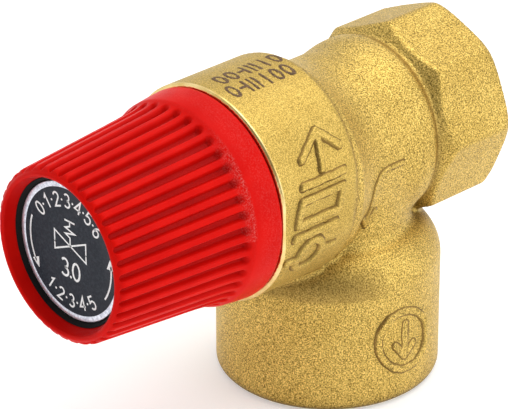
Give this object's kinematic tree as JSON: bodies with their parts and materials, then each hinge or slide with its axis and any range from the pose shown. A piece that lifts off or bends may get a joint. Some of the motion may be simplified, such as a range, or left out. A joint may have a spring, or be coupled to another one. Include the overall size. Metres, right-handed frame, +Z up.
{
  "type": "pressure relief valve",
  "caption": "Angle-pattern diaphragm safety valve: brass body with female inlet and outlet threads, spring-loaded seal, and a ribbed red cap that lifts the seal when turned.",
  "frame": {"origin": "centre of the outlet's mouth, on the outlet face that the valve stands on", "axes": "+Z up along the outlet's axis, +Y out of the inlet, -Y out of the turning cap; the spindle axis is parallel to Y at z = 34.8 mm"},
  "size_m": [0.032, 0.072, 0.0504],
  "materials": {
    "cast_brass": "sandblasted forging",
    "turned_brass": "machined",
    "steel": "stainless, turned",
    "spring_steel": "drawn wire",
    "rubber": "moulded",
    "red_plastic": "moulded, satin gloss",
    "black_plastic": "moulded",
    "printed_aluminium": "dark print, bare rim"
  },
  "bodies": {
    "valve_body": {"body": "cast_brass", "bonnet": "turned_brass", "slip_ring": "steel", "diaphragm": "rubber", "adjusting_screw": "turned_brass", "thrust_washer": "steel", "spring": "spring_steel"},
    "stem": {"spindle": "turned_brass", "disc_holder": "turned_brass", "seal_disc": "rubber", "seal_washer": "steel", "seal_screw": "steel", "diaphragm_plate": "steel", "spring_plate": "turned_brass", "diaphragm_nut": "turned_brass", "cap_washer": "steel", "cap_nut": "turned_brass"},
    "cap": {"lift_cap": "red_plastic", "cover_plug": "black_plastic", "label_plate": "printed_aluminium"}
  },
  "joints": [
    {"name": "spindle_lift", "type": "slide", "parent": "valve_body", "child": "stem", "axis": [0, -1, 0], "range_m": [0, 0.0025], "stiffness_N_per_m": 12000, "deforming": ["spring", "diaphragm"]},
    {"name": "cap_turn", "type": "hinge", "parent": "stem", "child": "cap", "pos_m": [0, -0.0237, 0.0348], "axis": [0, -1, 0], "range_deg": [0, 75]}
  ],
  "couplings": [
    {"joint": "cap_turn", "follows": "spindle_lift", "rad_per_m": 523.6}
  ]
}
